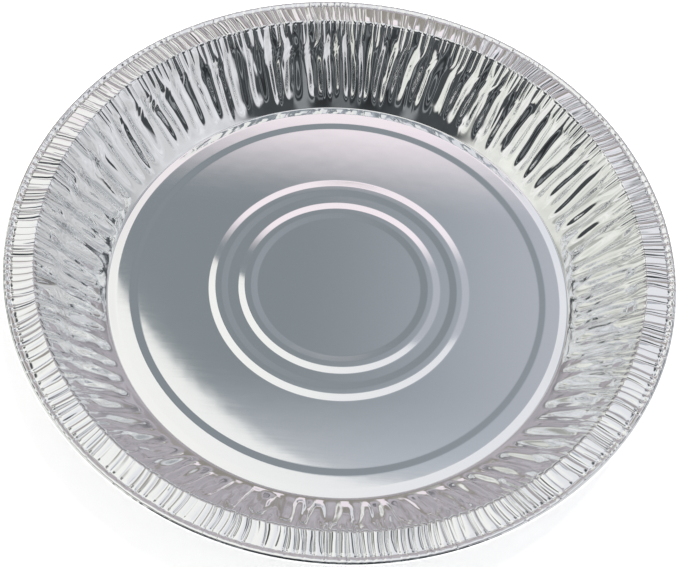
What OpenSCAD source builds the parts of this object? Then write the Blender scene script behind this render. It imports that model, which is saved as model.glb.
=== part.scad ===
// Round foil pie tin, pressed from one disc of thin aluminium sheet.
// Millimetres, z up. The origin is the middle of the base, on the plane it rests on.

/* [Rim] */
// Diameter of the mouth, at the inner edge of the flange
mouth_d = 201.4; // [190:0.2:212]
// Width of the crimped flange, from the mouth to the groove
flange_w = 7.2; // [4:0.1:12]
// Width of the groove between the flange and the rolled edge
groove_w = 0.7; // [0.6:0.1:2]
// Fall of the flange from the mouth to the groove
flange_fall = 0.1; // [0:0.05:1.5]
// Depth of the groove below the flange
groove_depth = 0.2; // [0.1:0.05:0.6]
// Diameter of the rolled edge
roll_d = 2.4; // [1.8:0.1:4]
// Height of the top of the rolled edge above the flange
roll_rise = 0.4; // [0:0.05:0.8]

/* [Wall] */
// Height of the mouth above the plane the tin rests on
mouth_h = 25.4; // [18:0.2:36]
// Diameter of the wall where it meets the base
foot_d = 159.8; // [150:0.2:170]
// Length of the bend between the wall and the base, along each of them
foot_bend = 0.3; // [0.2:0.05:0.35]
// Height of the plain wall below the flutes
plain_h = 1.8; // [1.4:0.1:3]
// Number of large flutes round the wall
flutes = 80; // [60:1:84]
// Depth of the large flutes
flute_depth = 1.1; // [0.4:0.05:1.6]
// How much the spacing of the flutes varies, as a share of their pitch
flute_scatter = 0.2; // [0:0.02:0.26]
// How far a flute leans from foot to mouth, as a share of its pitch
flute_lean = 0.3; // [0:0.02:0.4]

/* [Crimps] */
// Number of fine crimps round the flange
crimps = 260; // [220:1:280]
// Depth of the fine crimps
crimp_depth = 0.45; // [0.1:0.05:0.7]

/* [Base] */
// Width of the flat foot between the wall and the raised ring
foot_w = 0.6; // [0.6:0.1:2]
// Width of the sloped side of the raised ring next to the foot
ring_outer_w = 2.5; // [2:0.1:4]
// Width of the flat top of the raised ring
ring_top_w = 4.9; // [2:0.1:7]
// Width of the sloped side of the raised ring next to the panel
ring_inner_w = 2.2; // [2:0.1:4]
// Height of the raised ring
ring_h = 0.18; // [0.1:0.02:1.5]
// Diameter of the outer bead, along its middle
outer_bead_d = 83.7; // [78:0.1:100]
// Diameter of the inner bead, along its middle
inner_bead_d = 63.4; // [40:0.1:66]
// Width of a bead
bead_w = 6.8; // [5:0.1:9]
// Width of the flat top of a bead
bead_top_w = 1.9; // [0.6:0.1:2.4]
// Height of a bead
bead_h = 0.16; // [0.1:0.02:1]

/* [Foil] */
// Thickness of the sheet
foil_t = 0.12; // [0.08:0.01:0.2]

/* [Hidden] */

foil_colour = [0.78, 0.79, 0.8];
// Points on a true round
round_fn = 360;
// Steps in the arc of one bend of the section
bend_steps = 4;
// Length of a bend of the beads and of the raised ring, along each side of it
press_bend = 0.25;
// Ledge by which the round base stands proud of the flat sided wall that seats on it
seat = 0.03;

// Points round one flute: their places as shares of its pitch, and the share of its depth there
flute_places = [0, 0.3, 0.5, 0.8];
flute_shape = [0.5, 0.5, -0.5, -0.5];
// The same for one crimp
crimp_places = [0, 0.5];
crimp_shape = [0.5, -0.5];
// How much the depth varies from one flute or crimp to the next
depth_scatter = 0.35;
// How much the place of a crimp varies, as a share of its pitch
crimp_scatter = 0.1;
// Share of the wall's height, and of the flute depth there, at each ring of the fluted wall
wall_rings = [[0.2, 0.85], [0.5, 1], [0.8, 0.8]];
// Points round the plain groove and the rolled edge
roll_points = 84;
// Angles round the section of the rolled edge, from the groove over the top and under
roll_angles = [125, 90, 45, 0, -60, -120, -180];

mouth_r = mouth_d / 2;
foot_r = foot_d / 2;
half_t = foil_t / 2;

// The middle of the sheet along the wall, from the foot to the mouth
wall_rise = mouth_h - half_t;
wall_run = mouth_r - foot_r;
wall_angle = atan2(wall_rise, wall_run);
// Distance of a skin of the wall from the middle of the sheet, measured level
level_half_t = half_t / sin(wall_angle);
function wall_r(z) = foot_r + wall_run * (z - half_t) / wall_rise;

// Place of the groove and of the rolled edge
groove_r = mouth_r + flange_w;
groove_z = mouth_h - flange_fall - groove_depth;
roll_r = roll_d / 2 - half_t;
roll_middle_r = groove_r + groove_w + roll_r;
roll_middle_z = mouth_h - flange_fall + roll_rise - roll_r;

// Steady scatter from -1 to 1 for item i and trait k
function scatter(i, k) =
    let (x = sin(i * 127.1 + k * 311.7) * 43758.5453)
    2 * (x - floor(x)) - 1;

function unit(v) = v / norm(v);
function left_of(v) = [-v[1], v[0]];
function reversed(list) = [for (i = [len(list) - 1:-1:0]) list[i]];
function sum_to(list, last) = last < 0 ? 0 : list[last] + sum_to(list, last - 1);

// Arc that rounds corner p between its neighbours a and b, over the given length of each side
function bend(a, p, b, length) =
    let (
        corner = [p[0], p[1]],
        to_a = unit([a[0], a[1]] - corner),
        to_b = unit([b[0], b[1]] - corner),
        half = acos(to_a * to_b) / 2,
        centre = corner + unit(to_a + to_b) * length / cos(half),
        first = corner + to_a * length - centre,
        last = corner + to_b * length - centre,
        turn = atan2(first[0] * last[1] - first[1] * last[0], first * last)
    )
    [for (s = [0:bend_steps])
        let (w = turn * s / bend_steps)
        centre + first * cos(w) + left_of(first) * sin(w)
    ];

// A path through corners given as [x, y, length of the bend along each side]
function bent_path(corners) =
    let (last = len(corners) - 1)
    [for (i = [0:last])
        for (p = i == 0 || i == last || corners[i][2] == 0
            ? [[corners[i][0], corners[i][1]]]
            : bend(corners[i - 1], corners[i], corners[i + 1], corners[i][2]))
        p
    ];

// The path moved sideways, to the left of its direction
function moved_path(path, away) =
    let (last = len(path) - 1)
    [for (i = [0:last])
        let (
            before = left_of(unit(path[max(i, 1)] - path[max(i, 1) - 1])),
            after = left_of(unit(path[min(i, last - 1) + 1] - path[min(i, last - 1)])),
            middle = unit(before + after)
        )
        path[i] + middle * away / (middle * before)
    ];

// Corners of one bead, from its inner to its outer foot
function bead_corners(middle_r) = [
    [middle_r - bead_w / 2, half_t, press_bend],
    [middle_r - bead_top_w / 2, half_t + bead_h, press_bend],
    [middle_r + bead_top_w / 2, half_t + bead_h, press_bend],
    [middle_r + bead_w / 2, half_t, press_bend]
];

// Corners of the raised ring, from the panel to the foot
function ring_corners(outer_r) =
    let (top_outer = outer_r - ring_outer_w, top_inner = top_outer - ring_top_w)
    [
        [top_inner - ring_inner_w, half_t, press_bend],
        [top_inner, half_t + ring_h, press_bend],
        [top_outer, half_t + ring_h, press_bend],
        [outer_r, half_t, press_bend]
    ];

// The round base with its beads and raised ring, and the plain foot of the wall, cut off level
module base() {
    path = bent_path(concat(
        [[0, half_t, 0]],
        bead_corners(inner_bead_d / 2),
        bead_corners(outer_bead_d / 2),
        ring_corners(foot_r - foot_w),
        [[foot_r, half_t, foot_bend], [wall_r(plain_h), plain_h, 0]]
    ));
    inside = moved_path(path, half_t);
    outside = moved_path(path, -half_t);
    last = len(path) - 2;
    rotate_extrude($fn = round_fn)
        polygon(concat(
            [for (i = [0:last]) inside[i]],
            [[wall_r(plain_h) - level_half_t - seat, plain_h]],
            [[wall_r(plain_h) + level_half_t + seat, plain_h]],
            reversed([for (i = [0:last]) outside[i]])
        ));
}

// Angle of point q of flute i, at share h of the wall's height
function flute_edge(i, h) =
    let (shift = flute_scatter * scatter(i % flutes, 1) + flute_lean * scatter(i % flutes, 2) * (h - 0.5))
    (i + shift) * 360 / flutes;
function flute_angle(i, q, h) =
    let (from = flute_edge(i, h))
    from + (flute_edge(i + 1, h) - from) * flute_places[q];

function crimp_angle(i, q) =
    (i + crimp_places[q] + crimp_scatter * scatter(i, 3 + q)) * 360 / crimps;

// A point of the sheet: r and z are on its middle, the lean is that of its upper side from
// upright, and away is how far it lies on that side
function sheet_point(r, z, lean, away, angle) =
    let (reach = r - away * sin(lean))
    [reach * cos(angle), reach * sin(angle), z + away * cos(lean)];

function plain_ring(r, z, lean, away, points) =
    [for (n = [0:points - 1]) sheet_point(r, z, lean, away, 360 * n / points)];

function fluted_ring(h, share, away) =
    let (z = half_t + wall_rise * h)
    [for (i = [0:flutes - 1], q = [0:len(flute_places) - 1])
        let (depth = flute_depth * share * flute_shape[q] * (1 + depth_scatter * scatter(i, 5)))
        sheet_point(wall_r(z), z, wall_angle, away + depth, flute_angle(i, q, h))
    ];

function crimped_ring(r, z, lean, away) =
    [for (i = [0:crimps - 1], q = [0:len(crimp_places) - 1])
        let (depth = crimp_depth * crimp_shape[q] * (1 + depth_scatter * scatter(i, 6)))
        sheet_point(r, z, lean, away + depth, crimp_angle(i, q))
    ];

// All rings of the sheet from the flutes to the end of the rolled edge, on one of its skins
flange_angle = atan2(flange_fall, flange_w);
function skin_rings(away) = concat(
    [for (ring = wall_rings) fluted_ring(ring[0], ring[1], away)],
    [
        crimped_ring(mouth_r, mouth_h, (wall_angle - flange_angle) / 2, away),
        crimped_ring(groove_r, mouth_h - flange_fall, -flange_angle, away),
        plain_ring(groove_r + groove_w / 2, groove_z, 0, away, roll_points)
    ],
    [for (a = roll_angles)
        plain_ring(roll_middle_r + roll_r * cos(a), roll_middle_z + roll_r * sin(a), a - 90,
            away, roll_points)
    ]
);

// Level end of one skin of the fluted wall, where it seats on the plain foot
function seat_ring(side) =
    plain_ring(wall_r(plain_h) + side * level_half_t, plain_h, 0, 0, flutes * len(flute_places));

// Triangles between ring a of na points and ring b of nb points, which start at fa and fb
function stitch(fa, na, fb, nb) = concat(
    [for (i = [0:na - 1])
        [fa + i, fa + (i + 1) % na, fb + floor((i + 0.5) * nb / na + 0.5) % nb]],
    [for (j = [0:nb - 1])
        [fb + (j + 1) % nb, fb + j, fa + ceil((j + 0.5) * na / nb - 0.5) % na]]
);

// Fluted wall, crimped flange and rolled edge. Each skin runs from its seat to the end of the
// rolled edge, in the same triangles, so that the sheet is as thick everywhere.
module wall_and_rim() {
    upper = concat([seat_ring(-1)], skin_rings(half_t));
    lower = concat([seat_ring(1)], skin_rings(-half_t));
    rings = concat(upper, lower);
    counts = [for (ring = rings) len(ring)];
    starts = [for (i = [0:len(rings) - 1]) sum_to(counts, i - 1)];
    function between(i, j) = stitch(starts[i], counts[i], starts[j], counts[j]);
    skin = len(upper);
    polyhedron(
        points = [for (ring = rings) for (p = ring) p],
        faces = concat(
            [for (i = [0:skin - 2]) for (face = between(i, i + 1)) face],
            [for (i = [skin:2 * skin - 2]) for (face = between(i, i + 1)) reversed(face)],
            between(skin - 1, 2 * skin - 1),
            between(skin, 0)
        )
    );
}

module pie_tin() {
    color(foil_colour) {
        base();
        wall_and_rim();
    }
}

pie_tin();
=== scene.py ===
"""Foil pie tin: the fine form and the finish of the pressed sheet, and the white tent it stands in.

The sheet is one piece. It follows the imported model's sizes and the same scattered flutes and
crimps, with each of them rounded, and with the small folds and crinkles that thin foil picks up.
"""

import math

import bpy
import numpy as np
from bpy.props import FloatProperty, FloatVectorProperty, IntProperty, PointerProperty
from mathutils import Matrix, Vector


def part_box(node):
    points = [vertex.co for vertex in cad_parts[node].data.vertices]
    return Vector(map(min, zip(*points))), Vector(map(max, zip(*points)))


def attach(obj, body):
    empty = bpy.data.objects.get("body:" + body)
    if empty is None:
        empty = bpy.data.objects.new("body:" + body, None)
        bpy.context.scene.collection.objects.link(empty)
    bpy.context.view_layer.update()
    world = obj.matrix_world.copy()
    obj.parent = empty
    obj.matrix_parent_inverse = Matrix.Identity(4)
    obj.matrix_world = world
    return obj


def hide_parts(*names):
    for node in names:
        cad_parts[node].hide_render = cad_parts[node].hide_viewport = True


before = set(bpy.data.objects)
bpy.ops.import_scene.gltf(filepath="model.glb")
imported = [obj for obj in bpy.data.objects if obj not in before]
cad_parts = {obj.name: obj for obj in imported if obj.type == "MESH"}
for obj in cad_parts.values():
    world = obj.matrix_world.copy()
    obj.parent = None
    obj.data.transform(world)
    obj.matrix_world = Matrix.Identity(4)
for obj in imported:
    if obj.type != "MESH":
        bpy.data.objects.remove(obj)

bl_info = {
    "name": "Foil Pie Tin",
    "version": (1, 0, 0),
    "blender": (4, 5, 0),
    "location": "View3D > Sidebar > Pie Tin",
    "description": "Makes a fluted foil pie tin with a crimped flange, and the tent it is lit in",
    "category": "Add Mesh",
}

NODE = "pie_tin"
BODY = "root"
MM = 0.001

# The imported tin: the radius of its rim, and the height of its highest crimp
RIM_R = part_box(NODE)[1].x
TOP_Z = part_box(NODE)[1].z


def linear(hex_colour):
    """An sRGB colour written as RRGGBB, as linear red, green and blue."""
    channels = [int(hex_colour[i:i + 2], 16) / 255 for i in (0, 2, 4)]
    return tuple(c / 12.92 if c <= 0.04045 else ((c + 0.055) / 1.055) ** 2.4 for c in channels)


def add_node(tree, kind, settings=None, links=None):
    """Adds a node. Settings are its own properties, links set or connect its inputs by name."""
    node = tree.nodes.new(kind)
    for name, value in (settings or {}).items():
        setattr(node, name, value)
    for name, value in (links or {}).items():
        socket = node.inputs[name]
        if isinstance(value, bpy.types.NodeSocket):
            tree.links.new(value, socket)
        else:
            socket.default_value = value
    return node


class TinSizes(bpy.types.PropertyGroup):
    """Sizes of the tin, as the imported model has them."""

    mouth_d: FloatProperty(
        name="Mouth diameter", description="Diameter at the inner edge of the flange",
        default=201.4 * MM, unit="LENGTH", precision=4)
    flange_w: FloatProperty(
        name="Flange width", description="Width of the crimped flange",
        default=7.2 * MM, unit="LENGTH", precision=4)
    flange_fall: FloatProperty(
        name="Flange fall", description="Fall of the flange from the mouth to the groove",
        default=0.1 * MM, unit="LENGTH", precision=5)
    groove_depth: FloatProperty(
        name="Groove depth", description="Depth of the groove beside the rolled edge",
        default=0.2 * MM, unit="LENGTH", precision=5)
    groove_w: FloatProperty(
        name="Groove width", description="Width of the groove beside the rolled edge",
        default=0.7 * MM, unit="LENGTH", precision=5)
    roll_d: FloatProperty(
        name="Rolled edge", description="Diameter of the rolled edge",
        default=2.4 * MM, unit="LENGTH", precision=4)
    roll_rise: FloatProperty(
        name="Rolled edge rise",
        description="Height of the top of the rolled edge above the flange",
        default=0.4 * MM, unit="LENGTH", precision=5)
    mouth_h: FloatProperty(
        name="Mouth height", description="Height of the mouth above the plane the tin rests on",
        default=25.4 * MM, unit="LENGTH", precision=4)
    foot_d: FloatProperty(
        name="Foot diameter", description="Diameter of the wall where it meets the base",
        default=159.8 * MM, unit="LENGTH", precision=4)
    foot_bend: FloatProperty(
        name="Foot bend", description="Length of the bend at the foot, along each side of it",
        default=0.3 * MM, unit="LENGTH", precision=5)
    flutes: IntProperty(
        name="Flutes", description="Number of large flutes round the wall", default=80, min=12)
    flute_depth: FloatProperty(
        name="Flute depth", description="Depth of the large flutes",
        default=1.1 * MM, unit="LENGTH", precision=5)
    folds: IntProperty(
        name="Small folds", description="Number of small folds between the flutes",
        default=170, min=0)
    crimps: IntProperty(
        name="Crimps", description="Number of fine crimps round the flange", default=260, min=24)
    crimp_depth: FloatProperty(
        name="Crimp depth", description="Depth of the fine crimps",
        default=0.45 * MM, unit="LENGTH", precision=5)
    foil_t: FloatProperty(
        name="Sheet", description="Thickness of the sheet",
        default=0.12 * MM, unit="LENGTH", precision=5)


class TinColours(bpy.types.PropertyGroup):
    """Colours of the foil and of the floor."""

    foil: FloatVectorProperty(
        name="Foil", description="Colour of the aluminium", subtype="COLOR",
        size=3, min=0, max=1, default=linear("F3F4F5"))
    floor: FloatVectorProperty(
        name="Floor", description="Colour of the floor", subtype="COLOR",
        size=3, min=0, max=1, default=linear("F4F4F4"))


def scatter(index, trait):
    """A steady value from -1 to 1 for each item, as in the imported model. Each trait that scatters
    has its own number."""
    x = np.sin(np.radians(np.asarray(index) * 127.1 + trait * 311.7)) * 43758.5453
    return 2 * (x - np.floor(x)) - 1


def smooth(low, high, x):
    """Smooth step from 0 at low to 1 at high."""
    t = np.clip((x - low) / (high - low), 0, 1)
    return t * t * (3 - 2 * t)


def drift(share, count, trait):
    """Scatter that changes smoothly, over count places once round the tin."""
    place = np.asarray(share) * count
    first = np.floor(place)
    t = smooth(0, 1, place - first)
    return scatter(first % count, trait) * (1 - t) + scatter((first + 1) % count, trait) * t


def between(angle, knots):
    """Which peak and which valley each angle lies between, and how far it is from the peak, from
    0 at the peak to 1 at the valley. The knots are angles of peaks and valleys in turn."""
    count = len(knots) // 2
    places = np.concatenate([knots - 1, knots, knots + 1])
    at = np.clip(np.searchsorted(places, angle, side="right") - 1, 0, len(places) - 2)
    t = np.clip((angle - places[at]) / np.maximum(places[at + 1] - places[at], 1e-9), 0, 1)
    falling = at % 2 == 0
    peak = np.where(falling, at, at + 1) // 2 % count
    valley = np.where(falling, at + 1, at) // 2 % count
    return peak, valley, np.where(falling, t, 1 - t)


# The flutes: how far their places scatter, lean and wiggle over the wall, where a ridge and a
# groove have their middles and how far those scatter, all as shares of the pitch
FLUTE_SCATTER = 0.2
FLUTE_LEAN = 0.3
FLUTE_WIGGLE = 0.12
RIDGE_PLACE = 0.15
GROOVE_PLACE = 0.65
MIDDLE_SCATTER = 0.08
# Turn of the wiggle over the wall's height, in radians
WIGGLE_TURN = 6
# How much the flutes' depth scatters and how much it sways along each, and the turn of that sway
# over the wall's height and its scatter, in radians
DEPTH_SCATTER = 0.35
DEPTH_SWAY = 0.25
SWAY_TURN = 9
SWAY_SCATTER = 6
# Shares of the way from a ridge to a groove between which the side of a flute falls
FLUTE_FALLS = (0.2, 0.8)
# Shares of the wall's height between which a ridge rises from the plain foot and falls again, and
# at which the round ends of a groove lie, with how long the ends are and how far their middles
# reach out
RIDGE_RISES = (0.03, 0.4)
RIDGE_STOPS = (0.6, 1.0)
GROOVE_LOW = 0.07
GROOVE_HIGH = 0.76
END_SCATTER = 0.045
END_LENGTH = (0.22, 0.18)
END_REACH = 0.09
# Share of a groove's depth that is left at the mouth
GROOVE_LEFT = 0.15


def flute_knots(count, h):
    """Angles, in turns, of the ridges and the grooves at share h of the wall's height."""
    i = np.arange(count + 1)
    shift = FLUTE_SCATTER * scatter(i % count, 1) + FLUTE_LEAN * scatter(i % count, 2) * (h - 0.5)
    shift = shift + FLUTE_WIGGLE * scatter(i % count, 24) * math.sin(WIGGLE_TURN * h)
    edges = (i + shift) / count
    pitch = np.diff(edges)
    ridges = edges[:-1] + pitch * (RIDGE_PLACE + MIDDLE_SCATTER * scatter(i[:-1], 19))
    grooves = edges[:-1] + pitch * (GROOVE_PLACE + MIDDLE_SCATTER * scatter(i[:-1], 20))
    return np.stack([ridges, grooves], 1).ravel()


def flute_relief(angle, h, sizes):
    """Height of the flutes over the middle of the wall, towards the inside."""
    i = np.arange(sizes.flutes)
    peak, valley, away = between(angle, flute_knots(sizes.flutes, h))
    swing = sizes.flute_depth / 2 * (1 + DEPTH_SCATTER * scatter(i, 5))
    swing = swing * (1 + DEPTH_SWAY * np.sin(SWAY_TURN * h + SWAY_SCATTER * scatter(i, 25)))
    top = (swing * smooth(*RIDGE_RISES, h) * (1 - smooth(*RIDGE_STOPS, h)))[peak]
    bow = END_REACH * (1 - away) ** 2
    low = (GROOVE_LOW + END_SCATTER * scatter(i, 9))[valley]
    high = (GROOVE_HIGH + END_SCATTER * scatter(i, 26))[valley]
    share = smooth(low, low + END_LENGTH[0], h - bow)
    share = share * (1 - (1 - GROOVE_LEFT) * smooth(high, high + END_LENGTH[1], h + bow))
    return top - (swing[valley] + top) * smooth(*FLUTE_FALLS, away) * share


# Small folds on the flutes: their half width and how much it scatters, and their height
FOLD_HALF_W = 0.5 * MM
FOLD_W_SCATTER = 0.4
FOLD_H = 0.28 * MM
# How far their places scatter, as a share of their pitch, how far they lean and wiggle, in turns of
# the tin, and the turn of the wiggle over the wall's height, in radians
FOLD_SCATTER = 0.45
FOLD_LEAN = 0.004
FOLD_WIGGLE = 0.001
FOLD_TURN = 7
# Shares of the wall's height at which they start and stop, each with its scatter, and how long
# their two ends are
FOLD_LOW = (0.3, 0.22)
FOLD_HIGH = (0.84, 0.14)
FOLD_ENDS = (0.1, 0.14)
# Crinkles: their height, and how many stand round the wall and one above another, and the shares of
# the wall's height between which they start and stop
CRINKLES = ((0.036 * MM, 230, 4), (0.012 * MM, 420, 9))
CRINKLE_RISES = (0.08, 0.2)
CRINKLE_STOPS = (0.9, 1.0)


def fold_relief(angle, h, r, sizes):
    """Height of the small folds, each over its own stretch of the wall, and of the crinkles."""
    i = np.arange(sizes.folds)
    middle = (i + FOLD_SCATTER * scatter(i, 11)) / max(sizes.folds, 1)
    middle = (middle + FOLD_LEAN * scatter(i, 12) * (h - 0.5)
              + FOLD_WIGGLE * scatter(i, 27) * math.sin(FOLD_TURN * h))
    low = FOLD_LOW[0] + FOLD_LOW[1] * scatter(i, 13)
    high = FOLD_HIGH[0] + FOLD_HIGH[1] * scatter(i, 14)
    height = FOLD_H * scatter(i, 15) * smooth(low, low + FOLD_ENDS[0], h)
    height = height * (1 - smooth(high - FOLD_ENDS[1], high, h))
    half = FOLD_HALF_W * (1 + FOLD_W_SCATTER * scatter(i, 16))
    apart = (angle[:, None] - middle + 0.5) % 1 - 0.5
    across = apart * 2 * math.pi * r / half
    out = (height * np.exp(-across ** 2)).sum(1)
    shown = float(smooth(*CRINKLE_RISES, h) * (1 - smooth(*CRINKLE_STOPS, h)))
    for size, count, rows in CRINKLES:
        row = math.floor(h * rows)
        t = float(smooth(0, 1, h * rows - row))
        below = drift(angle, count, 31 + row)
        above = drift(angle, count, 32 + row)
        out = out + shown * size * (below * (1 - t) + above * t)
    return out


# The crimps: how far their places scatter and drift, and how far they lean and bow over the flange,
# as shares of their pitch
CRIMP_SCATTER = 0.26
CRIMP_DRIFT = 1.1
CRIMP_LEAN = 0.7
LEAN_SCATTER = 0.35
CRIMP_BOW = 0.12
# Crimps to each change of the drift, and how often the lean, bow and depth change round the tin
CRIMPS_PER_DRIFT = 6
LEAN_PLACES = 26
BOW_PLACES = 60
DEPTH_PLACES = 40
# Least way from a peak to a valley, as a share of the pitch
CRIMP_LEAST = 0.22
# Share of the wall's height at which a crimp starts, with its scatter, and how long the start is
CRIMP_START = (0.78, 0.09)
CRIMP_RUN_IN = 0.07
# A crimp's depth as a share of the full one, with its scatter and drift, and the least and most
CRIMP_DEPTH = (0.85, 0.5, 0.4)
CRIMP_DEPTHS = (0.1, 1.35)
# How much of some crimps fades away towards the roll and of others towards the mouth, and the
# shares of the flange over which they do
CRIMP_FADE = 0.7
OUTER_FADES = (0.3, 0.9)
INNER_FADES = (0.1, 0.7)
# How much deeper a valley is than a peak is high, and the shares of the way from a peak to a
# valley between which the side of a crimp falls
CRIMP_DIP = 2.0
CRIMP_FALLS = (0.45, 1.0)


def crimp_knots(count, s):
    """Angles, in turns, of the peaks and valleys of the crimps; s runs over the flange, 0 to 1."""
    i = np.arange(count)
    share = i / count
    shift = (CRIMP_DRIFT * drift(share, count // CRIMPS_PER_DRIFT, 7)
             + CRIMP_BOW * drift(share, BOW_PLACES, 21) * 4 * s * (1 - s))
    lean = drift(share, LEAN_PLACES, 8) + LEAN_SCATTER * scatter(i, 28)
    shift = shift + CRIMP_LEAN * lean * (s - 0.5)
    knots = np.stack([(i + place + CRIMP_SCATTER * scatter(i, 3 + q) + shift) / count
                      for q, place in enumerate((0.0, 0.5))], 1).ravel()
    gaps = np.maximum(np.diff(np.append(knots, knots[0] + 1)), CRIMP_LEAST / count)
    return knots[0] + np.cumsum(np.append(0, gaps[:-1])) / gaps.sum()


def crimp_relief(angle, s, h, sizes):
    """Height of the crimps over the middle of the sheet, upwards."""
    i = np.arange(sizes.crimps)
    middle, spread, change = CRIMP_DEPTH
    depth = middle + spread * scatter(i, 6) + change * drift(i / sizes.crimps, DEPTH_PLACES, 29)
    depth = np.clip(depth, *CRIMP_DEPTHS)
    depth = depth * (1 - CRIMP_FADE * np.maximum(scatter(i, 22), 0) * smooth(*OUTER_FADES, s))
    depth = depth * (1 - CRIMP_FADE * np.maximum(scatter(i, 23), 0) * (1 - smooth(*INNER_FADES, s)))
    start = CRIMP_START[0] + CRIMP_START[1] * scatter(i, 17)
    swing = sizes.crimp_depth / 2 * depth * smooth(start, start + CRIMP_RUN_IN, h)
    peak, valley, away = between(angle, crimp_knots(sizes.crimps, s))
    top = swing[peak]
    return top - (CRIMP_DIP * swing[valley] + top) * smooth(*CRIMP_FALLS, away)


def ring(angle, r, z, lean, away):
    """Points of the sheet round the tin. Away is how far they lie on its upper side."""
    turn = 2 * np.pi * angle
    reach = r - away * np.sin(lean)
    rise = np.broadcast_to(np.minimum(z + away * np.cos(lean), TOP_Z), turn.shape)
    return np.stack([reach * np.cos(turn), reach * np.sin(turn), rise], 1)


def stitched(first, first_angles, second, second_angles):
    """Faces between two rings of points: four-sided where both have as many points."""
    n, m = len(first_angles), len(second_angles)
    i, j = np.arange(n), np.arange(m)
    if n == m:
        k = (i + 1) % n
        return np.stack([first + i, second + i, second + k, first + k], 1).tolist()
    first_middles = (first_angles + np.append(first_angles[1:], first_angles[0] + 1)) / 2
    second_middles = (second_angles + np.append(second_angles[1:], second_angles[0] + 1)) / 2
    near = np.searchsorted(second_middles, first_middles) % m
    far = np.searchsorted(first_middles, second_middles) % n
    out = np.stack([first + i, second + near, first + (i + 1) % n], 1).tolist()
    return out + np.stack([second + j, second + (j + 1) % m, first + far], 1).tolist()


def bend(a, p, b, length, steps):
    """Arc that rounds corner p between its neighbours a and b."""
    a, p, b = (np.array(q[:2], float) for q in (a, p, b))
    to_a = (a - p) / np.linalg.norm(a - p)
    to_b = (b - p) / np.linalg.norm(b - p)
    half = math.acos(float(to_a @ to_b)) / 2
    middle = to_a + to_b
    centre = p + middle / np.linalg.norm(middle) * length / math.cos(half)
    first = p + to_a * length - centre
    last = p + to_b * length - centre
    turn = math.atan2(first[0] * last[1] - first[1] * last[0], float(first @ last))
    side = np.array([-first[1], first[0]])
    return [centre + first * math.cos(turn * s / steps) + side * math.sin(turn * s / steps)
            for s in range(steps + 1)]


# The base: each bead's diameter, width and top, and their height, the raised ring's inner slope,
# top and outer slope, and its height, and the width of the flat between it and the foot
BEADS = ((63.4 * MM, 6.8 * MM, 1.9 * MM), (83.7 * MM, 6.8 * MM, 1.9 * MM))
BEAD_H = 0.16 * MM
RING_WIDTHS = (2.2 * MM, 4.9 * MM, 2.5 * MM)
RING_H = 0.18 * MM
FOOT_W = 0.6 * MM
# Length of each bend of the beads and the ring, along each side of it
PRESS_BEND = 0.25 * MM
# How close to each end of a flat an added point lies, and the most that this may be of the flat
FLAT_END = 0.4 * MM
FLAT_SHARE = 0.2


def base_path(sizes, wall_point, steps):
    """Section of the middle of the sheet, from the middle of the base to the foot of the wall."""
    z = sizes.foil_t / 2
    corners = [(0, z, 0)]
    for diameter, width, top in BEADS:
        middle = diameter / 2
        corners += [
            (middle - width / 2, z, PRESS_BEND),
            (middle - top / 2, z + BEAD_H, PRESS_BEND),
            (middle + top / 2, z + BEAD_H, PRESS_BEND),
            (middle + width / 2, z, PRESS_BEND),
        ]
    outer = sizes.foot_d / 2 - FOOT_W
    top_outer = outer - RING_WIDTHS[2]
    top_inner = top_outer - RING_WIDTHS[1]
    corners += [
        (top_inner - RING_WIDTHS[0], z, PRESS_BEND),
        (top_inner, z + RING_H, PRESS_BEND),
        (top_outer, z + RING_H, PRESS_BEND),
        (outer, z, PRESS_BEND),
        (sizes.foot_d / 2, z, sizes.foot_bend),
        (*wall_point, 0),
    ]
    path = [corners[0][:2]]
    for i in range(1, len(corners) - 1):
        path += bend(corners[i - 1], corners[i], corners[i + 1], corners[i][2], steps)
    # A point close to each end of a long flat keeps its shading flat
    out = [path[0]]
    for before, after in zip(path, path[1:]):
        gap = np.subtract(after, before)
        near = FLAT_END / np.linalg.norm(gap)
        if near < FLAT_SHARE:
            out += [before + gap * near, before + gap * (1 - near)]
        out.append(after)
    return np.array(out)


def leans(path):
    """Lean of the sheet's upper side from upright at each point of a section."""
    step = np.diff(path, axis=0)
    slope = np.arctan2(step[:, 1], step[:, 0])
    return (np.append(slope[:1], slope) + np.append(slope, slope[-1:])) / 2


# Points round the base, and steps in each of its bends on the upper and the lower skin
BASE_COLUMNS = 160
BEND_STEPS = (3, 1)
# Shares of the way from a peak to a valley of a crimp, and back up, at which the columns of the
# upper skin stand, and those of the lower skin and the rolled edge
FINE_SHARES = ((0, 0.45, 0.72), (0, 0.28, 0.55))
PLAIN_SHARES = ((0, 0.55), (0, 0.45))
# Rows of points on the wall and the flange, as shares of each
LOW_ROWS = (0.03, 0.06, 0.09, 0.12, 0.15, 0.19, 0.24, 0.3)
HIGH_ROWS = (0.36, 0.42, 0.48, 0.54, 0.6, 0.66, 0.72, 0.77, 0.82, 0.87, 0.92, 0.96)
FLANGE_ROWS = (0.0, 0.08, 0.3, 0.5, 0.7, 0.92, 1.0)
LOWER_HIGH_ROWS = (0.36, 0.48, 0.6, 0.66, 0.72, 0.77, 0.82, 0.92)
LOWER_FLANGE_ROWS = (0.0, 0.3, 0.7, 1.0)
# How far the lower skin, which has fewer rows, hangs clear of the upper one's finer folds, the
# shares of the wall's height over which that grows, and the share of it left at the rolled edge
LOWER_GAP = 0.36 * MM
GAP_RISES = (0, 0.25)
LOWER_GAP_LEFT = 0.3
# Shares of the wall's height over which its even columns gather to the crimps, and of the flange
# over which the flutes run out
COLUMNS_GATHER = (0.55, 0.8)
FLUTES_STOP = (0, 0.5)
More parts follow.
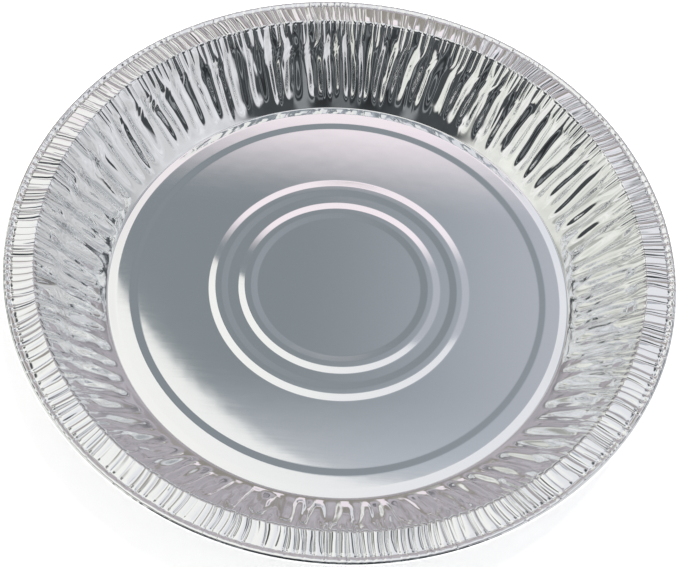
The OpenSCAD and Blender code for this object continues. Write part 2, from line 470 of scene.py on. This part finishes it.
# Rows round the rolled edge on the upper and the lower skin, in degrees
ROLL_ANGLES = ((138, 112, 90, 68, 45, 20, -5, -32, -62, -110, -180),
               (138, 95, 50, 5, -45, -105, -180))
# Depth of the dents in the rolled edge
ROLL_DENT = 0.16 * MM
# Share of the crimps that is left where they end against the rolled edge, and the degrees round it
# over which the rest goes
ROLL_ENDS = 0.6
ROLL_FADES = (60, 138)


def crimp_columns(sizes, s, shares):
    """Angles, in turns, of the columns that follow the crimps."""
    knots = crimp_knots(sizes.crimps, s)
    gaps = np.diff(np.append(knots, knots[0] + 1)).reshape(-1, 2, 1)
    return (knots.reshape(-1, 2, 1) + gaps * np.array(shares)).ravel()


def skin(sizes, lower):
    """Rings of one skin of the sheet, from the middle of the base to the end of the rolled edge.
    Each is its angles and its points."""
    t = sizes.foil_t / 2
    half_t = -t if lower else t
    gap = LOWER_GAP if lower else 0
    shares = PLAIN_SHARES if lower else FINE_SHARES
    mouth_r = sizes.mouth_d / 2
    foot_r = sizes.foot_d / 2
    rise = sizes.mouth_h - t
    run = mouth_r - foot_r
    wall_lean = math.atan2(rise, run)
    flange_lean = -math.atan2(sizes.flange_fall, sizes.flange_w)
    rings = []

    def add(angle, r, z, lean, away):
        rings.append((angle, ring(angle, r, z, lean, away)))

    path = base_path(sizes, (foot_r + run, t + rise), BEND_STEPS[lower])
    even = np.arange(BASE_COLUMNS) / BASE_COLUMNS
    for (r, z), lean in list(zip(path, leans(path)))[1:]:
        add(even, r, z, lean, half_t)
    inner = crimp_columns(sizes, 0, shares)
    even = np.arange(len(inner)) / len(inner)
    for h in LOW_ROWS + (LOWER_HIGH_ROWS if lower else HIGH_ROWS):
        r, z = foot_r + run * h, t + rise * h
        angle = even + (inner - even) * smooth(*COLUMNS_GATHER, h)
        relief = flute_relief(angle, h, sizes) + fold_relief(angle, h, r, sizes)
        add(angle, r, z, wall_lean,
            half_t - gap * smooth(*GAP_RISES, h) + relief + crimp_relief(angle, 0, h, sizes))
    for s in LOWER_FLANGE_ROWS if lower else FLANGE_ROWS:
        angle = crimp_columns(sizes, s, shares)
        lean = flange_lean if s > 0 else (wall_lean + flange_lean) / 2
        left = flute_relief(angle, 1.0, sizes) * (1 - smooth(*FLUTES_STOP, s))
        relief = crimp_relief(angle, s, 1.0, sizes) + left
        add(angle, mouth_r + sizes.flange_w * s, sizes.mouth_h - sizes.flange_fall * s, lean,
            half_t - gap * (1 - (1 - LOWER_GAP_LEFT) * s) + relief)
    outer = crimp_columns(sizes, 1.0, PLAIN_SHARES)
    ends = crimp_relief(outer, 1.0, 1.0, sizes)
    dents = ROLL_DENT * np.abs(scatter(np.arange(len(outer)), 18))
    groove_z = sizes.mouth_h - sizes.flange_fall - sizes.groove_depth
    add(outer, mouth_r + sizes.flange_w + sizes.groove_w / 2, groove_z, 0,
        half_t - gap * LOWER_GAP_LEFT + ends * ROLL_ENDS)
    roll_r = sizes.roll_d / 2 - t
    middle_r = RIM_R - sizes.roll_d / 2
    middle_z = sizes.mouth_h - sizes.flange_fall + sizes.roll_rise - roll_r - t
    for a in ROLL_ANGLES[lower]:
        turn = math.radians(a)
        pressed = ends * ROLL_ENDS * smooth(*ROLL_FADES, a) - dents * abs(math.sin(turn))
        add(outer, middle_r + roll_r * math.cos(turn), middle_z + roll_r * math.sin(turn),
            turn - math.pi / 2, half_t + pressed)
    return rings


def mesh_of(rings, name):
    """One closed mesh through the rings, with a flat disc on the first and on the last."""
    counts = [len(angle) for angle, _ in rings]
    starts = np.cumsum([0] + counts[:-1]).tolist()
    faces = [list(range(counts[0]))]
    for i in range(len(rings) - 1):
        faces += stitched(starts[i], rings[i][0], starts[i + 1], rings[i + 1][0])
    faces.append([starts[-1] + i for i in reversed(range(counts[-1]))])
    mesh = bpy.data.meshes.new(name)
    mesh.from_pydata(np.concatenate([points for _, points in rings]).tolist(), [], faces)
    mesh.validate()
    mesh.polygons.foreach_set("use_smooth", [True] * len(mesh.polygons))
    mesh.update()
    return mesh


# Pitch of the roll marks on the sheet, drawn ten times as coarse as the real ones so that they show
ROLL_MARK = 0.6 * MM
ROLL_MARK_LENGTH = 18 * MM
# Pitch of the faint waviness of the sheet, and how deep both are
DRAW_MARK = 7 * MM
MARK_DEPTH = 0.0003 * MM
WAVE_DEPTH = 0.006 * MM
# Roughness of the bright foil, in and between the marks
ROUGHNESS = (0.03, 0.07)


def rolled_aluminium(colours):
    """Aluminium foil, bright rolled and then pressed: a clear but slightly blurred mirror, with
    fine marks along the direction it was rolled in, and faintly wavy."""
    material = bpy.data.materials.new("rolled_aluminium_foil")
    material.use_nodes = True
    tree = material.node_tree
    tree.nodes.clear()
    place = add_node(tree, "ShaderNodeTexCoord").outputs["Object"]
    stretched = add_node(tree, "ShaderNodeMapping", None, {
        "Vector": place,
        "Scale": (1 / ROLL_MARK_LENGTH, 1 / ROLL_MARK, 1 / ROLL_MARK)}).outputs[0]
    marks = add_node(tree, "ShaderNodeTexNoise", None, {
        "Vector": stretched, "Scale": 1.0, "Detail": 2.0}).outputs[0]
    waves = add_node(tree, "ShaderNodeTexNoise", None, {
        "Vector": place, "Scale": 1 / DRAW_MARK, "Detail": 1.0}).outputs[0]
    wavy = add_node(tree, "ShaderNodeBump", None, {
        "Strength": 1.0, "Distance": WAVE_DEPTH, "Height": waves}).outputs[0]
    bumpy = add_node(tree, "ShaderNodeBump", None, {
        "Strength": 1.0, "Distance": MARK_DEPTH, "Height": marks, "Normal": wavy}).outputs[0]
    blur = add_node(tree, "ShaderNodeMapRange", None, {
        "Value": marks, "To Min": ROUGHNESS[0], "To Max": ROUGHNESS[1]}).outputs[0]
    shader = add_node(tree, "ShaderNodeBsdfPrincipled", None, {
        "Base Color": (*colours.foil, 1), "Metallic": 1.0, "Roughness": blur, "Normal": bumpy})
    add_node(tree, "ShaderNodeOutputMaterial", None, {"Surface": shader.outputs["BSDF"]})
    return material


class TIN_OT_foil(bpy.types.Operator):
    """Make the pressed foil with its flutes, crimps and rolled edge"""

    bl_idname = "tin.foil"
    bl_label = "Pressed Foil"

    def execute(self, context):
        sizes = context.scene.tin_sizes
        mesh = mesh_of(skin(sizes, False) + skin(sizes, True)[::-1], "pressed_foil")
        mesh.materials.append(rolled_aluminium(context.scene.tin_colours))
        piece = bpy.data.objects.new("pressed_foil", mesh)
        context.scene.collection.objects.link(piece)
        # The wide faces set the shading, so a flat stays flat up to its fold
        piece.modifiers.new("flat_faces", "WEIGHTED_NORMAL").mode = "FACE_AREA"
        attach(piece, BODY)
        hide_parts(NODE)
        return {"FINISHED"}


# The tent that the foil mirrors is white, warm on the left and cool on the right, and duller low
# down. Azimuth 0 is right and 90 away from the camera.
TENT = {"left_low": "E8E9E1", "left_high": "FDFDF9", "right_low": "D3D3D4", "right_high": "ECEDF1"}
# Sines of the elevations between which low turns to high, and the reach to the right over which
# left turns to right
TENT_RISES = (0.1, 0.6)
TENT_SIDES = (-0.22, 0.22)
# Upright cards: azimuth and elevation of the middle, half width and half height in degrees,
# softness of the edge as a share of them, and colour. A later card covers an earlier one. The power
# rounds their corners.
CARD_POWER = 4.0
CARDS = (
    ("far_cloth", 90, 18, 50, 30, 0.16, "9C978F"),
    ("far_cloth_low", 90, 21, 44, 15, 0.50, "C0BAC0"),
    ("far_shade", 90, -4, 46, 20, 0.50, "6A6B6D"),
    ("far_gap_left", 107, 47, 8, 7, 0.40, "F0F0EC"),
    ("far_gap_right", 72, 50, 5, 6, 0.40, "E8EAF0"),
    ("right_post", 19, 22, 8, 14, 0.50, "B2B5B8"),
    ("left_post", 161, 22, 8, 14, 0.50, "B6B8B2"),
    ("right_beam", 32, 50, 12, 9, 0.50, "505356"),
    ("left_beam", 148, 50, 12, 9, 0.50, "505353"),
    ("near_shade", 270, 16, 45, 31, 0.18, "474A4C"),
    ("near_gap_left", 248, 20, 2.5, 24, 0.60, "8A8D8F"),
    ("near_gap", 276, 24, 4, 18, 0.60, "6C6F71"),
    ("near_gap_right", 293, 20, 2.5, 24, 0.60, "8A8D8F"),
    ("near_dark", 264, 12, 5, 20, 0.60, "2E3032"),
    ("near_dark_right", 285, 14, 3, 22, 0.60, "303234"),
)
# The dark hoop that carries the cloth: sines of the elevations between which it stands, how softly
# it ends, the reach away from the camera over which it fades out, and its colour
HOOP = (0.69, 0.86)
HOOP_SOFT = 0.03
HOOP_STOPS = (0.25, -0.4)
HOOP_COLOUR = "484B4E"
# Folds of the hanging cloth: their fineness, the noise's span that makes them, how dark and light
# they make it, and the sines of the elevations between which they end
DRAPE_SCALE = 7.0
DRAPE_SPAN = (0.3, 0.7)
DRAPE_TONES = (0.82, 1.10)
DRAPE_ENDS = (0.55, 0.75)
# Panels on the ceiling, on a plane one unit up: lowest and highest x and y, softness of each of
# those four edges, slope and curve of the lower y edge, and colours at the left and the right. The
# ceiling ends between these two sines of the elevation.
CEILING_ENDS = (0.704, 0.714)
PANELS = (
    ("far_light", (-0.34, 0.27, 0.70, 1.03), (0.08, 0.08, 0.04, 0.03), (0.0, 0.0),
     "FFF4F9", "FFF5FB"),
    ("gap", (-0.28, 0.28, 0.462, 0.79), (0.02, 0.02, 0.004, 0.06), (-0.26, 2.7),
     "878F94", "B9BDC6"),
    ("gap_end", (-0.28, 0.28, 0.462, 0.50), (0.02, 0.02, 0.004, 0.055), (-0.26, 2.7),
     "BCC1C7", "BAC0CA"),
)
# The x over which a panel's left colour turns to its right one, and the least sine of an elevation
# that still counts as meeting the ceiling
PANEL_SIDES = (-0.06, 0.26)
LEAST_UP = 0.05
# Settings that the studio's nodes share
STEP = {"interpolation_type": "SMOOTHSTEP"}
MIX = {"data_type": "RGBA"}
DOT = {"operation": "DOT_PRODUCT"}
TIMES = {"operation": "MULTIPLY"}
TIMES_PLUS = {"operation": "MULTIPLY_ADD"}
OVER = {"operation": "DIVIDE"}
POWER = {"operation": "POWER"}


def card_mask(tree, direction, azimuth, elevation, half_w, half_h, soft):
    """How much of an upright card shows in a direction, from 0 to 1."""
    a, e = math.radians(azimuth), math.radians(elevation)
    facing = Vector((math.cos(a) * math.cos(e), math.sin(a) * math.cos(e), math.sin(e)))
    right = Vector((-math.sin(a), math.cos(a), 0))
    ahead = add_node(tree, "ShaderNodeVectorMath", DOT, {0: direction, 1: facing}).outputs["Value"]
    powers = []
    for axis, half in ((right, half_w), (facing.cross(right), half_h)):
        along = add_node(tree, "ShaderNodeVectorMath", DOT, {
            0: direction, 1: axis / math.tan(math.radians(half))}).outputs["Value"]
        share = add_node(tree, "ShaderNodeMath", OVER, {0: along, 1: ahead}).outputs[0]
        size = add_node(tree, "ShaderNodeMath", {"operation": "ABSOLUTE"}, {0: share}).outputs[0]
        powers.append(add_node(tree, "ShaderNodeMath", POWER, {
            0: size, 1: CARD_POWER}).outputs[0])
    total = add_node(tree, "ShaderNodeMath", {"operation": "ADD"}, {
        0: powers[0], 1: powers[1]}).outputs[0]
    reach = add_node(tree, "ShaderNodeMath", POWER, {0: total, 1: 1 / CARD_POWER}).outputs[0]
    inside = add_node(tree, "ShaderNodeMapRange", STEP, {
        "Value": reach, "From Min": 1 + soft, "From Max": 1 - soft}).outputs[0]
    in_front = add_node(tree, "ShaderNodeMath", {"operation": "GREATER_THAN"}, {
        0: ahead, 1: 0.0}).outputs[0]
    return add_node(tree, "ShaderNodeMath", TIMES, {0: inside, 1: in_front}).outputs[0]


def panel_mask(tree, x, y, edges, soft, lower_edge):
    """How much of a ceiling panel shows where a direction meets the ceiling."""
    slope, curve = lower_edge
    slide = add_node(tree, "ShaderNodeMath", TIMES_PLUS, {0: x, 1: -curve, 2: -slope}).outputs[0]
    slid = add_node(tree, "ShaderNodeMath", TIMES_PLUS, {0: x, 1: slide, 2: y}).outputs[0]
    inside = 1.0
    for value, edge, s, side in zip((x, x, slid, y), edges, soft, (1, -1, 1, -1)):
        share = add_node(tree, "ShaderNodeMapRange", STEP, {
            "Value": value, "From Min": edge - s * side, "From Max": edge + s * side}).outputs[0]
        inside = add_node(tree, "ShaderNodeMath", TIMES, {0: inside, 1: share}).outputs[0]
    return inside


def hoop_mask(tree, ahead, up):
    """How much of the dark hoop shows in a direction."""
    rising = add_node(tree, "ShaderNodeMapRange", STEP, {
        "Value": up, "From Min": HOOP[0] - HOOP_SOFT, "From Max": HOOP[0] + HOOP_SOFT}).outputs[0]
    falling = add_node(tree, "ShaderNodeMapRange", STEP, {
        "Value": up, "From Min": HOOP[1] + HOOP_SOFT, "From Max": HOOP[1] - HOOP_SOFT}).outputs[0]
    fading = add_node(tree, "ShaderNodeMapRange", STEP, {
        "Value": ahead, "From Min": HOOP_STOPS[0], "From Max": HOOP_STOPS[1]}).outputs[0]
    stands = add_node(tree, "ShaderNodeMath", TIMES, {0: rising, 1: falling}).outputs[0]
    return add_node(tree, "ShaderNodeMath", TIMES, {0: stands, 1: fading}).outputs[0]


def tent_cloth(tree, across, up):
    """Colour of the tent itself."""
    tones = {name: (*linear(value), 1) for name, value in TENT.items()}
    high = add_node(tree, "ShaderNodeMapRange", STEP, {
        "Value": up, "From Min": TENT_RISES[0], "From Max": TENT_RISES[1]}).outputs[0]
    to_right = add_node(tree, "ShaderNodeMapRange", STEP, {
        "Value": across, "From Min": TENT_SIDES[0], "From Max": TENT_SIDES[1]}).outputs[0]
    left = add_node(tree, "ShaderNodeMix", MIX, {
        0: high, 6: tones["left_low"], 7: tones["left_high"]}).outputs[2]
    right = add_node(tree, "ShaderNodeMix", MIX, {
        0: high, 6: tones["right_low"], 7: tones["right_high"]}).outputs[2]
    return add_node(tree, "ShaderNodeMix", MIX, {0: to_right, 6: left, 7: right}).outputs[2]


def draped(tree, colour, direction, up):
    """Colour with the soft folds of hanging cloth, below the ceiling."""
    hanging = add_node(tree, "ShaderNodeVectorMath", TIMES, {
        0: direction, 1: (DRAPE_SCALE, DRAPE_SCALE, DRAPE_SCALE / 4)}).outputs[0]
    folds = add_node(tree, "ShaderNodeTexNoise", None, {"Vector": hanging, "Scale": 1.0}).outputs[0]
    tone = add_node(tree, "ShaderNodeMapRange", None, {
        "Value": folds, "From Min": DRAPE_SPAN[0], "From Max": DRAPE_SPAN[1],
        "To Min": DRAPE_TONES[0], "To Max": DRAPE_TONES[1]}).outputs[0]
    folded = add_node(tree, "ShaderNodeVectorMath", {"operation": "SCALE"}, {
        0: colour, "Scale": tone}).outputs[0]
    above = add_node(tree, "ShaderNodeMapRange", STEP, {
        "Value": up, "From Min": DRAPE_ENDS[0], "From Max": DRAPE_ENDS[1]}).outputs[0]
    return add_node(tree, "ShaderNodeMix", MIX, {0: above, 6: folded, 7: colour}).outputs[2]


def make_tent():
    """White tent with soft grey cards, as the world. The camera sees it plain white."""
    world = bpy.data.worlds.new("white_tent")
    bpy.context.scene.world = world
    world.use_nodes = True
    tree = world.node_tree
    tree.nodes.clear()
    direction = add_node(tree, "ShaderNodeTexCoord").outputs["Generated"]
    across, ahead, up = add_node(tree, "ShaderNodeSeparateXYZ", None, {0: direction}).outputs
    colour = tent_cloth(tree, across, up)
    for _, azimuth, elevation, half_w, half_h, soft, hex_colour in CARDS:
        mask = card_mask(tree, direction, azimuth, elevation, half_w, half_h, soft)
        colour = add_node(tree, "ShaderNodeMix", MIX, {
            0: mask, 6: colour, 7: (*linear(hex_colour), 1)}).outputs[2]
    colour = add_node(tree, "ShaderNodeMix", MIX, {
        0: hoop_mask(tree, ahead, up), 6: colour, 7: (*linear(HOOP_COLOUR), 1)}).outputs[2]
    colour = draped(tree, colour, direction, up)
    height = add_node(tree, "ShaderNodeMath", {"operation": "MAXIMUM"}, {
        0: up, 1: LEAST_UP}).outputs[0]
    x = add_node(tree, "ShaderNodeMath", OVER, {0: across, 1: height}).outputs[0]
    y = add_node(tree, "ShaderNodeMath", OVER, {0: ahead, 1: height}).outputs[0]
    overhead = add_node(tree, "ShaderNodeMapRange", STEP, {
        "Value": up, "From Min": CEILING_ENDS[0], "From Max": CEILING_ENDS[1]}).outputs[0]
    to_right = add_node(tree, "ShaderNodeMapRange", STEP, {
        "Value": x, "From Min": PANEL_SIDES[0], "From Max": PANEL_SIDES[1]}).outputs[0]
    for _, edges, soft, lower_edge, left_hex, right_hex in PANELS:
        mask = add_node(tree, "ShaderNodeMath", TIMES, {
            0: panel_mask(tree, x, y, edges, soft, lower_edge), 1: overhead}).outputs[0]
        tone = add_node(tree, "ShaderNodeMix", MIX, {
            0: to_right, 6: (*linear(left_hex), 1), 7: (*linear(right_hex), 1)}).outputs[2]
        colour = add_node(tree, "ShaderNodeMix", MIX, {0: mask, 6: colour, 7: tone}).outputs[2]
    camera_ray = add_node(tree, "ShaderNodeLightPath").outputs["Is Camera Ray"]
    colour = add_node(tree, "ShaderNodeMix", MIX, {
        0: camera_ray, 6: colour, 7: (1, 1, 1, 1)}).outputs[2]
    light = add_node(tree, "ShaderNodeBackground", None, {"Color": colour, "Strength": 1.0})
    add_node(tree, "ShaderNodeOutputWorld", None, {"Surface": light.outputs[0]})


# The floor: half its width, how far it lies under the tin, and how bright it glows, to be plain
# white, for the camera
FLOOR_HALF = 3.0
FLOOR_DROP = 0.02 * MM
FLOOR_LIFT = 0.52
# The same for the foil's reflections: less, or the outside of the wall is lost on the white
MIRROR_LIFT = 0.12


def make_floor(colour):
    """Matt white floor that keeps the tin's shadow, lifted to plain white for the camera."""
    mesh = bpy.data.meshes.new("floor")
    mesh.from_pydata(
        [(x * FLOOR_HALF, y * FLOOR_HALF, -FLOOR_DROP)
         for x, y in ((-1, -1), (1, -1), (1, 1), (-1, 1))],
        [], [(0, 1, 2, 3)])
    floor = bpy.data.objects.new("floor", mesh)
    bpy.context.scene.collection.objects.link(floor)
    material = bpy.data.materials.new("matt_white_paper")
    material.use_nodes = True
    tree = material.node_tree
    tree.nodes.clear()
    paper = add_node(tree, "ShaderNodeBsdfDiffuse", None, {"Color": (*colour, 1)})
    ray = add_node(tree, "ShaderNodeLightPath")
    mirrored = add_node(tree, "ShaderNodeMath", TIMES, {
        0: ray.outputs["Is Glossy Ray"], 1: MIRROR_LIFT}).outputs[0]
    lift = add_node(tree, "ShaderNodeMath", TIMES_PLUS, {
        0: ray.outputs["Is Camera Ray"], 1: FLOOR_LIFT, 2: mirrored}).outputs[0]
    glow = add_node(tree, "ShaderNodeEmission", None, {"Strength": lift})
    both = add_node(tree, "ShaderNodeAddShader", None, {0: paper.outputs[0], 1: glow.outputs[0]})
    add_node(tree, "ShaderNodeOutputMaterial", None, {"Surface": both.outputs[0]})
    mesh.materials.append(material)


# The photograph's view: where the camera stands, where it looks, its roll in degrees and its lens
CAMERA_PLACE = Vector((0, -0.2440, 0.3790))
CAMERA_AIM = Vector((0, 0, 0.00094))
CAMERA_ROLL = 5.73
PHOTO_W = 679
FOCAL_PIXELS = 1297.9
SENSOR_W = 36


def make_camera():
    """Camera at the photograph's angle."""
    data = bpy.data.cameras.new("camera")
    data.sensor_width = SENSOR_W
    data.lens = FOCAL_PIXELS * SENSOR_W / PHOTO_W
    camera = bpy.data.objects.new("camera", data)
    bpy.context.scene.collection.objects.link(camera)
    turn = (CAMERA_AIM - CAMERA_PLACE).to_track_quat("-Z", "Y").to_matrix()
    roll = Matrix.Rotation(math.radians(CAMERA_ROLL), 3, "Z")
    camera.matrix_world = Matrix.Translation(CAMERA_PLACE) @ (turn @ roll).to_4x4()
    bpy.context.scene.camera = camera


# The lamp: where it hangs, how wide it is and its power
LAMP_PLACE = Vector((0.14, 0.12, 0.9))
LAMP_SIZE = 0.25
LAMP_WATTS = 8.0


def make_lamp():
    """One lamp overhead, which gives the floor its shadow. The foil doesn't mirror it."""
    data = bpy.data.lights.new("overhead_lamp", "AREA")
    data.shape = "DISK"
    data.size = LAMP_SIZE
    data.energy = LAMP_WATTS
    lamp = bpy.data.objects.new("overhead_lamp", data)
    lamp.location = LAMP_PLACE
    lamp.rotation_euler = (-LAMP_PLACE).to_track_quat("-Z", "Y").to_euler()
    lamp.visible_glossy = False
    bpy.context.scene.collection.objects.link(lamp)


class TIN_OT_studio(bpy.types.Operator):
    """Make the floor, the white tent, the lamp and the camera"""

    bl_idname = "tin.studio"
    bl_label = "Studio"

    def execute(self, context):
        make_floor(context.scene.tin_colours.floor)
        make_tent()
        make_lamp()
        make_camera()
        context.scene.view_settings.view_transform = "Standard"
        return {"FINISHED"}


class TIN_PT_panel(bpy.types.Panel):
    """Sizes, colours and makers of the pie tin"""

    bl_idname = "TIN_PT_panel"
    bl_label = "Pie Tin"
    bl_space_type = "VIEW_3D"
    bl_region_type = "UI"
    bl_category = "Pie Tin"

    def draw(self, context):
        for group in (context.scene.tin_sizes, context.scene.tin_colours):
            for name in group.bl_rna.properties.keys():
                if name not in ("rna_type", "name"):
                    self.layout.prop(group, name)
        for operator in (TIN_OT_foil, TIN_OT_studio):
            self.layout.operator(operator.bl_idname)


CLASSES = (TinSizes, TinColours, TIN_OT_foil, TIN_OT_studio, TIN_PT_panel)


def register():
    """Registers the classes and their settings."""
    for cls in CLASSES:
        bpy.utils.register_class(cls)
    bpy.types.Scene.tin_sizes = PointerProperty(type=TinSizes)
    bpy.types.Scene.tin_colours = PointerProperty(type=TinColours)


def unregister():
    """Takes them out again."""
    del bpy.types.Scene.tin_colours
    del bpy.types.Scene.tin_sizes
    for cls in reversed(CLASSES):
        bpy.utils.unregister_class(cls)


def main():
    """Makes the whole scene."""
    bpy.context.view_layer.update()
    register()
    bpy.ops.tin.foil()
    bpy.ops.tin.studio()


if __name__ == "__main__":
    main()
